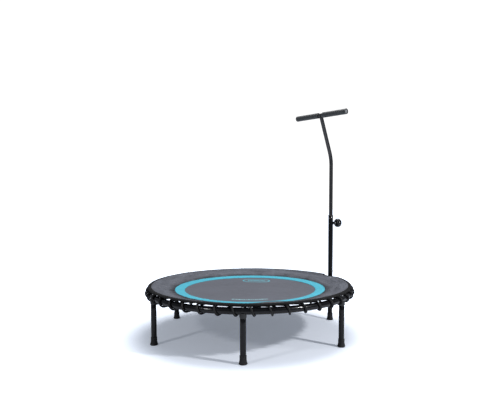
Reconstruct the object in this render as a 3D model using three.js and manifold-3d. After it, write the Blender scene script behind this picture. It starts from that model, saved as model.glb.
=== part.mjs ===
// Round fitness trampoline with an elastic-cord bed, six screwed-on legs and a height-adjustable
// T-handle. Millimetres, +Z up, origin on the floor under the middle of the ring.
// The handle stands over the leg at +30 degrees.
import * as THREE from 'three';
import { mergeVertices } from 'three/addons/utils/BufferGeometryUtils.js';
import Module from 'manifold-3d';

const wasm = await Module();
wasm.setup();

// ---- driving dimensions -------------------------------------------------------------------
const GAP = 0.3; // clearance between pieces that touch

const RING_RADIUS = 545; // middle of the frame tube
const RING_HEIGHT = 241; // middle of the frame tube above the floor
const FRAME_TUBE = { outer: 16, wall: 1.5 };
const LEG_COUNT = 6;
const SWAGE_LENGTH = 35; // the narrowed end of an arc that plugs into the next one
const SWAGE_TAPER = 6;

const LEG_TUBE = { outer: 14, wall: 1.5 };
const LEG_TOP = 208;
const FOOT = { baseRadius: 20, collarRadius: 16, flareHeight: 19, height: 41, floor: 6 };
const SADDLE = { shoulderRadius: 16.5, plugDepth: 26, cradle: 7 };
const BOLT = { radius: 4, headRadius: 7.5, headHeight: 5, length: 62 };

const MAT = { radius: 438, thickness: 2.4 };
const MAT_TOP = RING_HEIGHT;
const WEBBING_RADIUS = 452; // outer edge of the band sewn round the mat, without its loops
const LOOP = { outerRadius: 474, width: 19, holeInner: 455.5, holeOuter: 469.5, holeWidth: 13.5 };

const LACE_COUNT = 42; // turns of cord round the frame tube
const CORD_RADIUS = 5;
const CORD_CLEARANCE = 1.8; // keeps the cord's straight facets off the tube
const CORD_HOLE_RADIUS = 462.5; // where the cord passes up through a loop

const BORDER = { inner: 360, outer: 412, rise: 6.5, thickness: 1.5 };
const SKIRT = { outer: 537, topHeight: 274, thickness: 1.2 };
const HEM = { inner: 537.4, outer: 557, lift: 1.7, drop: 6.2, thickness: 2.5 };

const POST_TUBE = { outer: 14, wall: 1.5 };
const POST_TOP = 634;
const SOCKET = { stubRadius: 12.2, stubHeight: 48, padRadius: 15, padHeight: 7, collar: 6 };
const BUSH = { depth: 26, lip: 6, lipRadius: 15.4 };
const STEM_TUBE = { outer: 11, wall: 1.5 };
const STEM_BOTTOM = 518; // lower end of the inner tube, inside the post
const BEND_HEIGHT = 979;
const BEND_LENGTH = 34; // from the corner to where the bend starts and ends
const BAR_HEIGHT = 1225;
const HANDLE_TURN = 15; // degrees that the handlebar is turned on the post, out of the radial plane
const BAR_INSET = 99; // how far the handlebar stands in from the post, towards the middle
const BAR_LENGTH = 360;
const GRIP = { outer: 16, length: 170, overhang: 6 };
const PLUG = { depth: 16, capRadius: 10.9, capHeight: 4 };

const PIN_HEIGHT = 592;
const PIN = { tip: 11.4, radius: 2.6, neckRadius: 4, neckStart: 33.5, end: 52 };
const BOSS = { start: 14.3, end: 26, rootRadius: 10.5, endRadius: 6.5, bore: 4.3, wall: 2 };
const SPRING = { start: 14.8, length: 3.6, turns: 3, radius: 3.45, wire: 0.35 };
const KNOB = { start: 34, end: 71, radius: 26.5, neckRadius: 8 };

// facets, kept low; pieces that fit into each other have the same number, so their flats line up
const TUBE_SIDES = 12;
const ROUND_SIDES = 16;
const RING_SIDES = 60;

// ---- colours ------------------------------------------------------------------------------
const material = (color, roughness, metalness) =>
  new THREE.MeshStandardMaterial({ color, roughness, metalness });
const blackPaint = material(0x121214, 0.25, 0.4);
const zincSteel = material(0xb4b6b8, 0.35, 1);
const blackRubber = material(0x161617, 0.8, 0);
const blackPlastic = material(0x151516, 0.4, 0);
const greyPlastic = material(0x6d7072, 0.5, 0);
const foam = material(0x2f3234, 0.9, 0);
const meshCloth = material(0x54585b, 0.7, 0);
const tealCloth = material(0x46bccb, 0.7, 0);
const skirtCloth = material(0x33363a, 0.6, 0);
const hemCloth = material(0x17181a, 0.8, 0);
const cordCloth = material(0x101012, 0.75, 0);

// ---- geometry helpers ---------------------------------------------------------------------
// Only positions, shared vertices merged, faces turned outward.
function closed(geometry) {
  geometry.deleteAttribute('normal');
  geometry.deleteAttribute('uv');
  const merged = mergeVertices(geometry, 1e-3);
  const at = merged.attributes.position;
  const corners = merged.index.array;
  const [a, b, c] = [new THREE.Vector3(), new THREE.Vector3(), new THREE.Vector3()];
  const kept = [];
  let volume = 0;
  for (let i = 0; i < corners.length; i += 3) {
    const [p, q, r] = [corners[i], corners[i + 1], corners[i + 2]];
    if (p === q || q === r || r === p) continue;
    a.fromBufferAttribute(at, p);
    b.fromBufferAttribute(at, q);
    c.fromBufferAttribute(at, r);
    volume += a.dot(b.cross(c));
    kept.push(p, q, r);
  }
  if (volume < 0) kept.reverse();
  merged.setIndex(kept);
  return merged;
}

function solid(geometry) {
  const body = closed(geometry);
  return new wasm.Manifold(new wasm.Mesh({
    numProp: 3,
    vertProperties: Float32Array.from(body.attributes.position.array),
    triVerts: Uint32Array.from(body.index.array),
  }));
}

function geometryOf(manifold) {
  const mesh = manifold.getMesh();
  const geometry = new THREE.BufferGeometry();
  geometry.setAttribute('position', new THREE.BufferAttribute(mesh.vertProperties, 3));
  geometry.setIndex(Array.from(mesh.triVerts));
  return geometry;
}

// A profile of [radius, height] turned about Z. A hollow profile is closed on itself.
function turned(profile, sides = ROUND_SIDES, hollow = false) {
  const points = profile.map(([radius, height]) => new THREE.Vector2(radius, height));
  if (hollow) points.push(points[0].clone());
  return new THREE.LatheGeometry(points, sides).rotateX(Math.PI / 2);
}

function ringProfile(outer, inner, bottom, top) {
  return [[inner, bottom], [outer, bottom], [outer, top], [inner, top]];
}

function pipe(tube, bottom, top, sides = TUBE_SIDES) {
  return turned(ringProfile(tube.outer, tube.outer - tube.wall, bottom, top), sides, true);
}

function rod(radius, bottom, top, sides = TUBE_SIDES) {
  return turned([[0, bottom], [radius, bottom], [radius, top], [0, top]], sides);
}

const alongX = (geometry) => geometry.rotateY(Math.PI / 2);
const alongY = (geometry) => geometry.rotateX(-Math.PI / 2);

// A path through given points that is sampled exactly at them.
class StationPath extends THREE.Curve {
  constructor(points, isClosed = false) {
    super();
    this.points = isClosed ? [...points, points[0]] : points;
    this.isClosed = isClosed;
  }

  getUtoTmapping(u) {
    return u;
  }

  getPoint(t) {
    const last = this.points.length - 1;
    const at = Math.min(Math.max(t, 0), 1) * last;
    const from = Math.min(Math.floor(at), last - 1);
    return this.points[from].clone().lerp(this.points[from + 1], at - from);
  }

  getTangent(t) {
    const step = 0.25 / (this.points.length - 1);
    const wrap = (x) => (this.isClosed ? (x + 1) % 1 : Math.min(Math.max(x, 0), 1));
    return this.getPoint(wrap(t + step)).sub(this.getPoint(wrap(t - step))).normalize();
  }
}

const model = new THREE.Group();

function add(name, geometry, look, parent = model) {
  const mesh = new THREE.Mesh(closed(geometry), look);
  mesh.name = name;
  parent.add(mesh);
  return mesh;
}

// A group whose +X points outward at the given angle. Its origin stays in the ring's middle.
function outwardAt(angle) {
  const group = new THREE.Group();
  group.rotation.z = angle;
  model.add(group);
  return group;
}

// The same, with its origin over the middle of the frame tube, on the floor.
function stationAt(angle) {
  const group = outwardAt(angle);
  const station = new THREE.Group();
  station.position.x = RING_RADIUS;
  group.add(station);
  return station;
}

const legAngle = (index) => THREE.MathUtils.degToRad(-90 + index * 360 / LEG_COUNT);
const HANDLE_LEG = 2;

// ---- frame --------------------------------------------------------------------------------
const halfArc = RING_RADIUS * Math.PI / LEG_COUNT;

// Lengths along an arc at which the bent tube has a section. The first stretch is as long as the
// narrowed end that sits in it.
function arcStations() {
  const steps = 4;
  const from = SWAGE_LENGTH - halfArc;
  const to = halfArc - SWAGE_TAPER;
  const evenly = Array.from({ length: steps + 1 }, (unused, i) => from + (to - from) * i / steps);
  return [GAP - halfArc, ...evenly];
}

// Bends a straight piece that runs along Y round the ring.
function bent(straight) {
  const at = straight.attributes.position;
  for (let i = 0; i < at.count; i += 1) {
    const angle = at.getY(i) / RING_RADIUS;
    const radius = RING_RADIUS + at.getX(i);
    at.setXYZ(i, radius * Math.cos(angle), radius * Math.sin(angle), RING_HEIGHT + at.getZ(i));
  }
  return straight;
}

// One arc of the ring, with a narrowed end that plugs into the next arc.
function frameArc() {
  const inner = FRAME_TUBE.outer - FRAME_TUBE.wall;
  const swageOuter = inner - GAP;
  const swageInner = swageOuter - FRAME_TUBE.wall;
  const along = arcStations();
  const profile = [
    ...along.map((y) => [FRAME_TUBE.outer, y]),
    [swageOuter, halfArc - GAP],
    [swageOuter, halfArc + SWAGE_LENGTH],
    [swageInner, halfArc + SWAGE_LENGTH],
    [swageInner, halfArc - GAP],
    ...along.reverse().map((y) => [inner, y]),
  ];
  const hole = rod(BOLT.radius + GAP, RING_HEIGHT - 30, RING_HEIGHT + 30).translate(RING_RADIUS, 0, 0);
  return geometryOf(solid(bent(alongY(turned(profile, TUBE_SIDES, true)))).subtract(solid(hole)));
}

// The room that the frame tube takes up, for pieces that fit against it.
function tubeRoom() {
  const radius = FRAME_TUBE.outer + 2 * GAP;
  const along = arcStations();
  const profile = [[0, along[0]], ...along.map((y) => [radius, y]), [0, along.at(-1)]];
  return solid(bent(alongY(turned(profile, TUBE_SIDES))).translate(-RING_RADIUS, 0, 0));
}

// A moulded saddle that plugs the leg and cradles the frame tube.
function saddle() {
  const bore = BOLT.radius + GAP;
  const plug = LEG_TUBE.outer - LEG_TUBE.wall - GAP;
  const top = RING_HEIGHT - FRAME_TUBE.outer + SADDLE.cradle;
  const body = turned([
    [bore, LEG_TOP - SADDLE.plugDepth],
    [plug, LEG_TOP - SADDLE.plugDepth],
    [plug, LEG_TOP + GAP],
    [LEG_TUBE.outer, LEG_TOP + GAP],
    [SADDLE.shoulderRadius, LEG_TOP + 6],
    [SADDLE.shoulderRadius, top],
    [bore, top],
  ], TUBE_SIDES, true);
  return geometryOf(solid(body).subtract(tubeRoom()));
}

// A dome-headed bolt, down through the frame tube into the saddle.
function legBolt(headBottom) {
  return turned([
    [0, headBottom - BOLT.length],
    [BOLT.radius, headBottom - BOLT.length],
    [BOLT.radius, headBottom],
    [BOLT.headRadius, headBottom],
    [BOLT.headRadius * 0.9, headBottom + BOLT.headHeight * 0.6],
    [BOLT.headRadius * 0.5, headBottom + BOLT.headHeight],
    [0, headBottom + BOLT.headHeight],
  ], 8);
}

function foot() {
  const bore = LEG_TUBE.outer + GAP;
  return turned([
    [0, 0],
    [FOOT.baseRadius - 1.5, 0],
    [FOOT.baseRadius, 2],
    [FOOT.baseRadius - 1, 7],
    [FOOT.collarRadius, FOOT.flareHeight],
    [FOOT.collarRadius, FOOT.height],
    [bore, FOOT.height],
    [bore, FOOT.floor],
    [0, FOOT.floor],
  ], TUBE_SIDES);
}

const tubeTop = RING_HEIGHT + FRAME_TUBE.outer + GAP;
for (let i = 0; i < LEG_COUNT; i += 1) {
  const station = stationAt(legAngle(i));
  const number = i + 1;
  add(`frame_arc_${number}`, frameArc(), blackPaint, station.parent);
  add(`leg_${number}`, pipe(LEG_TUBE, FOOT.floor + GAP, LEG_TOP), blackPaint, station);
  add(`leg_saddle_${number}`, saddle(), blackPlastic, station);
  const underHead = i === HANDLE_LEG ? tubeTop + SOCKET.padHeight : tubeTop;
  add(`leg_bolt_${number}`, legBolt(underHead), zincSteel, station);
  add(`foot_${number}`, foot(), blackRubber, station);
}

// ---- bed ----------------------------------------------------------------------------------
function polar(radius, angle) {
  return new THREE.Vector2(radius * Math.cos(angle), radius * Math.sin(angle));
}

// The band sewn round the mat, with one loop for each turn of the cord.
function edgeWebbing() {
  const outline = [];
  const shape = new THREE.Shape();
  const pitch = 2 * Math.PI / LACE_COUNT;
  for (let i = 0; i < LACE_COUNT; i += 1) {
    const middle = legAngle(0) + i * pitch;
    const half = LOOP.width / 2 / LOOP.outerRadius;
    outline.push(polar(WEBBING_RADIUS, middle - half), polar(LOOP.outerRadius, middle - half));
    outline.push(polar(LOOP.outerRadius, middle + half), polar(WEBBING_RADIUS, middle + half));
    const open = LOOP.holeWidth / 2 / LOOP.outerRadius;
    shape.holes.push(new THREE.Path([
      polar(LOOP.holeInner, middle - open), polar(LOOP.holeInner, middle + open),
      polar(LOOP.holeOuter, middle + open), polar(LOOP.holeOuter, middle - open),
    ]));
  }
  shape.setFromPoints(outline);
  const inside = [];
  for (let i = 0; i < RING_SIDES; i += 1) {
    inside.push(polar(MAT.radius + 2 * GAP, i * 2 * Math.PI / RING_SIDES));
  }
  shape.holes.push(new THREE.Path(inside));
  const band = new THREE.ExtrudeGeometry(shape, { depth: MAT.thickness, bevelEnabled: false });
  return band.translate(0, 0, MAT_TOP - MAT.thickness);
}

// The coloured border of the cover, which is sewn to the mat.
function border() {
  const low = MAT_TOP + GAP;
  const high = low + BORDER.rise;
  return turned([
    [BORDER.inner, low],
    [BORDER.outer, high],
    [BORDER.outer, high + BORDER.thickness],
    [BORDER.inner, low + BORDER.thickness],
  ], RING_SIDES, true);
}

const postHole = () => solid(rod(POST_TUBE.outer + 1.5, RING_HEIGHT, RING_HEIGHT + 80));

// The cover's cloth between the border and the hem. It lets the post through.
function skirt() {
  const low = MAT_TOP + GAP + BORDER.rise;
  const cloth = turned([
    [BORDER.outer + GAP, low],
    [SKIRT.outer, SKIRT.topHeight - SKIRT.thickness],
    [SKIRT.outer, SKIRT.topHeight],
    [BORDER.outer + GAP, low + SKIRT.thickness],
  ], RING_SIDES, true);
  return geometryOf(solid(cloth).subtract(notch()));
}

// The elastic hem that holds the cover over the crown of the frame tube.
function hem() {
  const top = SKIRT.topHeight + HEM.lift;
  const middle = (HEM.inner + HEM.outer) / 2;
  const band = turned([
    [HEM.inner, top - HEM.thickness],
    [middle, top - HEM.thickness],
    [HEM.outer, top - HEM.drop - HEM.thickness],
    [HEM.outer, top - HEM.drop],
    [middle, top],
    [HEM.inner, top],
  ], RING_SIDES, true);
  return geometryOf(solid(band).subtract(notch()));
}

function notch() {
  const angle = legAngle(HANDLE_LEG);
  const { x, y } = polar(RING_RADIUS, angle);
  return postHole().translate([x, y, 0]);
}

// One endless cord: up through a loop, over the tube, round outside it, and back under it.
function lace() {
  const turn = CORD_RADIUS + FRAME_TUBE.outer + CORD_CLEARANCE;
  const pitch = 2 * Math.PI / LACE_COUNT;
  const spread = 0.13; // part of the pitch that one turn round the tube takes up, each way
  const wrapAngles = [105, 63, 21, -21, -63, -105];
  const points = [];
  const put = (radius, height, angle) => {
    const { x, y } = polar(radius, angle);
    points.push(new THREE.Vector3(x, y, height));
  };
  for (let i = 0; i < LACE_COUNT; i += 1) {
    const hole = legAngle(0) + i * pitch;
    put(CORD_HOLE_RADIUS + 2, MAT_TOP - 10, hole - pitch * 0.02);
    put(CORD_HOLE_RADIUS, MAT_TOP - MAT.thickness / 2, hole);
    put(CORD_HOLE_RADIUS + 2, MAT_TOP + 6, hole + pitch * 0.02);
    for (const degrees of wrapAngles) {
      const around = THREE.MathUtils.degToRad(degrees);
      const share = 0.5 - spread * degrees / wrapAngles[0];
      put(RING_RADIUS + turn * Math.cos(around), RING_HEIGHT + turn * Math.sin(around),
        hole + pitch * share);
    }
  }
  const path = new StationPath(points, true);
  return new THREE.TubeGeometry(path, points.length, CORD_RADIUS, 4, true);
}

add('jumping_mat', rod(MAT.radius, MAT_TOP - MAT.thickness, MAT_TOP, RING_SIDES), meshCloth);
add('mat_edge_webbing', edgeWebbing(), blackPlastic);
add('cover_border', border(), tealCloth);
add('cover_skirt', skirt(), skirtCloth);
add('cover_hem', hem(), hemCloth);
add('bungee_cord', lace(), cordCloth);

// ---- handle -------------------------------------------------------------------------------
const handle = stationAt(legAngle(HANDLE_LEG));
const postBottom = tubeTop + SOCKET.padHeight + SOCKET.collar + GAP;

// A pad that fits the crown of the frame tube, with a hollow stub that the post slides over.
function socket() {
  const seat = tubeTop + SOCKET.padHeight - GAP;
  const bore = BOLT.headRadius + GAP;
  const stubTop = postBottom + SOCKET.stubHeight;
  const body = turned([
    [BOLT.radius + GAP, tubeTop - 5],
    [SOCKET.padRadius, tubeTop - 5],
    [SOCKET.padRadius, postBottom - GAP],
    [SOCKET.stubRadius, postBottom - GAP],
    [SOCKET.stubRadius, stubTop],
    [bore, stubTop],
    [bore, seat],
    [BOLT.radius + GAP, seat],
  ], TUBE_SIDES, true);
  const screw = alongX(rod(SCREW.radius + GAP, 0, 40, 10)).translate(0, 0, screwHeight);
  return geometryOf(solid(body).subtract(tubeRoom()).subtract(solid(screw)));
}

const SCREW = { radius: 3, headRadius: 5.5, headHeight: 3.5, start: 8.5 };
const screwHeight = postBottom + SOCKET.stubHeight * 0.6;

// The screw that fixes the post to the socket, from outside.
function socketScrew() {
  const head = POST_TUBE.outer + GAP;
  return alongX(turned([
    [0, SCREW.start],
    [SCREW.radius, SCREW.start],
    [SCREW.radius, head],
    [SCREW.headRadius, head],
    [SCREW.headRadius * 0.8, head + SCREW.headHeight],
    [0, head + SCREW.headHeight],
  ], 10)).translate(0, 0, screwHeight);
}

function post() {
  const tube = solid(pipe(POST_TUBE, postBottom, POST_TOP));
  const pinHole = alongX(rod(PIN.radius + GAP, 0, 40, 10)).translate(0, 0, PIN_HEIGHT);
  const screwHole = alongX(rod(SCREW.radius + GAP, 0, 40, 10)).translate(0, 0, screwHeight);
  return geometryOf(tube.subtract(solid(pinHole)).subtract(solid(screwHole)));
}

// A plastic bush that guides the inner tube, with a lip over the post's rim.
function bush() {
  const bore = STEM_TUBE.outer + GAP;
  const inside = POST_TUBE.outer - POST_TUBE.wall - GAP;
  return turned([
    [bore, POST_TOP - BUSH.depth],
    [inside, POST_TOP - BUSH.depth],
    [inside, POST_TOP + GAP],
    [BUSH.lipRadius, POST_TOP + GAP],
    [BUSH.lipRadius - 0.8, POST_TOP + BUSH.lip],
    [bore, POST_TOP + BUSH.lip],
  ], TUBE_SIDES, true);
}

// The cone welded to the post that houses the pin's spring.
function pinBoss() {
  const hole = PIN.radius + GAP;
  const cone = turned([
    [BOSS.bore, POST_TUBE.outer - 4],
    [BOSS.rootRadius, POST_TUBE.outer - 4],
    [BOSS.rootRadius, BOSS.start + 1.5],
    [BOSS.endRadius, BOSS.end],
    [hole, BOSS.end],
    [hole, BOSS.end - BOSS.wall],
    [BOSS.bore, BOSS.end - BOSS.wall],
  ], ROUND_SIDES, true);
  const post = rod(POST_TUBE.outer + GAP, PIN_HEIGHT - 40, PIN_HEIGHT + 40, 24);
  return geometryOf(solid(alongX(cone).translate(0, 0, PIN_HEIGHT)).subtract(solid(post)));
}

function lockPin() {
  return alongX(turned([
    [0, PIN.tip],
    [PIN.radius, PIN.tip],
    [PIN.radius, PIN.neckStart - 2],
    [PIN.neckRadius, PIN.neckStart - 2],
    [PIN.neckRadius, PIN.end],
    [0, PIN.end],
  ], TUBE_SIDES)).translate(0, 0, PIN_HEIGHT);
}

function pinSpring() {
  const steps = 6 * SPRING.turns;
  const points = [];
  for (let i = 0; i <= steps; i += 1) {
    const angle = 2 * Math.PI * SPRING.turns * i / steps;
    points.push(new THREE.Vector3(
      SPRING.start + SPRING.wire + SPRING.length * i / steps,
      SPRING.radius * Math.cos(angle),
      PIN_HEIGHT + SPRING.radius * Math.sin(angle),
    ));
  }
  const wire = new THREE.Shape().absarc(0, 0, SPRING.wire, 0, 2 * Math.PI);
  return new THREE.ExtrudeGeometry(wire, {
    steps, curveSegments: 2, bevelEnabled: false, extrudePath: new StationPath(points),
  });
}

function knob() {
  const bore = PIN.neckRadius + GAP;
  const middle = (KNOB.start + KNOB.end) / 2;
  const half = (KNOB.end - KNOB.start) / 2;
  const profile = [[0, PIN.end + GAP], [bore, PIN.end + GAP], [bore, KNOB.start]];
  const steps = 8;
  for (let i = 0; i <= steps; i += 1) {
    const angle = Math.PI * (-0.42 + 0.92 * i / steps);
    const radius = i === steps ? 0 : KNOB.radius * Math.cos(angle) ** 0.7;
    profile.push([Math.max(radius, i === 0 ? KNOB.neckRadius : 0), middle + half * Math.sin(angle)]);
  }
  profile[3][1] = KNOB.start;
  return alongX(turned(profile, ROUND_SIDES)).translate(0, 0, PIN_HEIGHT);
}

// The bent inner tube: up out of the post, then leaning in to the handlebar.
function stemPoints() {
  const corner = new THREE.Vector3(0, 0, BEND_HEIGHT);
  const end = new THREE.Vector3(-BAR_INSET, 0, BAR_HEIGHT);
  const lean = end.clone().sub(corner).normalize();
  const start = new THREE.Vector3(0, 0, BEND_HEIGHT - BEND_LENGTH);
  const after = corner.clone().addScaledVector(lean, BEND_LENGTH);
  const bend = new THREE.QuadraticBezierCurve3(start, corner, after);
  return [new THREE.Vector3(0, 0, STEM_BOTTOM), ...bend.getPoints(4), end];
}

function stem() {
  const points = stemPoints();
  const untwist = THREE.MathUtils.degToRad(-HANDLE_TURN); // keeps its flats in line with the bush's
  const circle = (path, radius) => path.absarc(0, 0, radius, untwist, untwist + 2 * Math.PI);
  const wall = circle(new THREE.Shape(), STEM_TUBE.outer);
  wall.holes.push(circle(new THREE.Path(), STEM_TUBE.outer - STEM_TUBE.wall));
  const tube = new THREE.ExtrudeGeometry(wall, {
    steps: points.length - 1,
    curveSegments: TUBE_SIDES / 2, // a full circle takes twice as many sides
    bevelEnabled: false,
    extrudePath: new StationPath(points),
  });
  const bar = alongY(rod(STEM_TUBE.outer + GAP, -40, 40, 24)).translate(-BAR_INSET, 0, BAR_HEIGHT);
  const above = new THREE.BoxGeometry(60, 60, 40).translate(-BAR_INSET, 0, BAR_HEIGHT + 20);
  return geometryOf(solid(tube).subtract(solid(bar)).subtract(solid(above)));
}

function endPlug() {
  const inside = STEM_TUBE.outer - STEM_TUBE.wall - GAP;
  return turned([
    [0, -PLUG.depth],
    [inside, -PLUG.depth],
    [inside, GAP],
    [PLUG.capRadius, GAP],
    [PLUG.capRadius - 1.5, PLUG.capHeight],
    [0, PLUG.capHeight],
  ], TUBE_SIDES);
}

add('handle_socket', socket(), blackPaint, handle);
add('handle_socket_screw', socketScrew(), zincSteel, handle);
add('handle_post', post(), blackPaint, handle);
add('post_bush', bush(), blackPlastic, handle);
add('pin_boss', pinBoss(), blackPaint, handle);
add('lock_pin', lockPin(), zincSteel, handle);
add('pin_spring', pinSpring(), zincSteel, handle);
add('pin_knob', knob(), blackPlastic, handle);

const turnedHandle = new THREE.Group();
turnedHandle.rotation.z = THREE.MathUtils.degToRad(HANDLE_TURN);
handle.add(turnedHandle);
add('handle_stem', stem(), blackPaint, turnedHandle);

const bar = new THREE.Group();
bar.position.set(-BAR_INSET, 0, BAR_HEIGHT);
turnedHandle.add(bar);
const halfBar = BAR_LENGTH / 2;
add('handle_bar', alongY(pipe(STEM_TUBE, -halfBar, halfBar)), blackPaint, bar);
const sleeve = { outer: GRIP.outer, wall: GRIP.outer - STEM_TUBE.outer - GAP };
for (const [side, name] of [[-1, 'right'], [1, 'left']]) {
  const far = halfBar + GRIP.overhang;
  const foamSleeve = alongY(pipe(sleeve, far - GRIP.length, far)).rotateZ(side < 0 ? Math.PI : 0);
  add(`grip_${name}`, foamSleeve, foam, bar);
  const plug = alongY(endPlug()).translate(0, halfBar, 0).rotateZ(side < 0 ? Math.PI : 0);
  add(`end_plug_${name}`, plug, greyPlastic, bar);
}

export default model;
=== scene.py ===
"""Looks of the mini trampoline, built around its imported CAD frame. Metres, +Z up."""

import math

import bpy
import numpy as np
from mathutils import Matrix, Vector, noise


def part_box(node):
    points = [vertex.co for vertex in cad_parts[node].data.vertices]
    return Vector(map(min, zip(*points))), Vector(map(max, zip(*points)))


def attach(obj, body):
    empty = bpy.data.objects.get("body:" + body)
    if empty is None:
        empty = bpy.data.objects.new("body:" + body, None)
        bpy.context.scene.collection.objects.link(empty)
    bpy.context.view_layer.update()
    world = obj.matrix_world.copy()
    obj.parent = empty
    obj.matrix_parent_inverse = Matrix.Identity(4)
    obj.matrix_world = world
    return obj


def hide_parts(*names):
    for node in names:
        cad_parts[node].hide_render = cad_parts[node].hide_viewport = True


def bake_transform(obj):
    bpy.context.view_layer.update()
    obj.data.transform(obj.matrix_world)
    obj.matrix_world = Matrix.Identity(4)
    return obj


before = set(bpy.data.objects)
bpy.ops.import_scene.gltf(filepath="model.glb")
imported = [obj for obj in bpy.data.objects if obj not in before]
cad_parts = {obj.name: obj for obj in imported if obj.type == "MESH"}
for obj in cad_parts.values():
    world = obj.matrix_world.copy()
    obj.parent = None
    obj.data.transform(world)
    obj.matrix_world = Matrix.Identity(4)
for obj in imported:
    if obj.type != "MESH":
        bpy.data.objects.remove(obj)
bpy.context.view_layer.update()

MM = 0.001

# ---- places and sizes, from the frame -----------------------------------------------------


def low(node):
    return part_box(node)[0]


def high(node):
    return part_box(node)[1]


def middle(node):
    return (low(node) + high(node)) / 2


def reach(node):
    """Outer radius of a node that is round about the Z axis."""
    return max(high(node).x, high(node).y)


LEGS = range(1, 7)
HANDLE_LEG = 3
leg_places = {i: middle(f"leg_{i}") for i in LEGS}
leg_angles = {i: math.atan2(p.y, p.x) for i, p in leg_places.items()}
RING_RADIUS = math.hypot(leg_places[1].x, leg_places[1].y)
RING_HEIGHT = middle("frame_arc_1").z
FRAME_TUBE = (high("frame_arc_1").z - low("frame_arc_1").z) / 2
LEG_TUBE = (high("leg_1").x - low("leg_1").x) / 2
WALL = 1.5 * MM

MAT_TOP = high("jumping_mat").z
MAT_RADIUS = reach("jumping_mat")
LOOP_RADIUS = reach("mat_edge_webbing")
BORDER_RADIUS = reach("cover_border")
BORDER_WIDTH = 52 * MM
SKIRT_RADIUS = reach("cover_skirt")
SKIRT_TOP = high("cover_skirt").z
HEM_RADIUS = reach("cover_hem")
HEM_TOP = high("cover_hem").z
CORD_RADIUS = 4.9 * MM
CORD_TURNS = 42
CORD_HOLE_RADIUS = 462.5 * MM

POST = middle("handle_post")
POST_TUBE = (high("handle_post").x - low("handle_post").x) / 2
BAR = middle("handle_bar")
STEM_TUBE = (high("handle_bar").z - low("handle_bar").z) / 2
GRIP = (high("grip_left").z - low("grip_left").z) / 2
PIN_HEIGHT = middle("lock_pin").z
PIN_SHANK = 4 * MM
PIN_END = 52 * MM  # measured out from the post's middle, as the knob's places are
KNOB_RADIUS = (high("pin_knob").z - low("pin_knob").z) / 2
KNOB_START = 34 * MM
KNOB_END = 2 * (middle("pin_knob") - POST).xy.length - KNOB_START
BEND_HEIGHT = 979 * MM

OUTWARD = Vector((POST.x, POST.y, 0)).normalized()
LEAN = Vector((BAR.x - POST.x, BAR.y - POST.y, 0)).normalized()  # the way the stem leans over
ALONG = Vector((LEAN.y, -LEAN.x, 0))  # along the handlebar
UP = Vector((0, 0, 1))
bar_span = high("handle_bar") - low("handle_bar")
HALF_BAR = (bar_span.y / 2 - STEM_TUBE * abs(ALONG.x)) / abs(ALONG.y)


def frame_at(origin, axis):
    """A matrix whose Z runs along axis and whose X points as near to up as it can."""
    z = Vector(axis).normalized()
    side = UP if abs(z.z) < 0.9 else LEAN
    y = z.cross(side).normalized()
    x = y.cross(z)
    return Matrix.Translation(origin) @ Matrix((x, y, z)).transposed().to_4x4()


# ---- mesh helpers -------------------------------------------------------------------------
SHARP_ANGLE = math.radians(40)


def mesh_piece(name, points, faces, uvs=None):
    mesh = bpy.data.meshes.new(name)
    mesh.from_pydata([tuple(p) for p in points], [], faces)
    mesh.validate()
    if uvs is not None:
        layer = mesh.uv_layers.new(name="UVMap")
        corners = np.zeros(len(mesh.loops), np.int32)
        mesh.loops.foreach_get("vertex_index", corners)
        layer.data.foreach_set("uv", np.asarray(uvs, np.float32)[corners].ravel())
    mesh.shade_smooth()
    mesh.set_sharp_from_angle(angle=SHARP_ANGLE)
    piece = bpy.data.objects.new(name, mesh)
    bpy.context.scene.collection.objects.link(piece)
    return piece


def grid_faces(rows, columns, wrap_rows=False, wrap_columns=True, start=0):
    faces = []
    for i in range(rows if wrap_rows else rows - 1):
        for j in range(columns if wrap_columns else columns - 1):
            a, b = i * columns, (i + 1) % rows * columns
            k = (j + 1) % columns
            faces.append((start + a + j, start + a + k, start + b + k, start + b + j))
    return faces


def rounded(profile, radius, steps=4):
    """The profile with its inner corners rounded off."""
    out = [profile[0]]
    for before, corner, after in zip(profile, profile[1:], profile[2:]):
        p, c, n = Vector(before), Vector(corner), Vector(after)
        r = min(radius, (p - c).length * 0.45, (n - c).length * 0.45)
        start, end = c + (p - c).normalized() * r, c + (n - c).normalized() * r
        for k in range(steps + 1):
            t = k / steps
            q = start * (1 - t) ** 2 + c * 2 * t * (1 - t) + end * t * t
            out.append((q.x, q.y))
    out.append(profile[-1])
    return out


def turned(name, profile, place, sides=48, hollow=False):
    """A profile of (radius, height) turned about the Z axis of place. A hollow one closes on itself."""
    points, faces, rings = [], [], []
    for radius, height in profile:
        if radius < 1e-7:
            rings.append([len(points)])
            points.append(place @ Vector((0, 0, height)))
            continue
        rings.append(range(len(points), len(points) + sides))
        for k in range(sides):
            a = math.tau * k / sides
            points.append(place @ Vector((radius * math.cos(a), radius * math.sin(a), height)))
    pairs = list(zip(rings, rings[1:]))
    if hollow:
        pairs.append((rings[-1], rings[0]))
    for one, two in pairs:
        for k in range(sides):
            n = (k + 1) % sides
            a, b = one[k % len(one)], one[n % len(one)]
            c, d = two[n % len(two)], two[k % len(two)]
            face = [v for i, v in enumerate((a, b, c, d)) if v not in (a, b, c, d)[:i]]
            if len(face) > 2:
                faces.append(face)
    return mesh_piece(name, points, faces)


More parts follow.
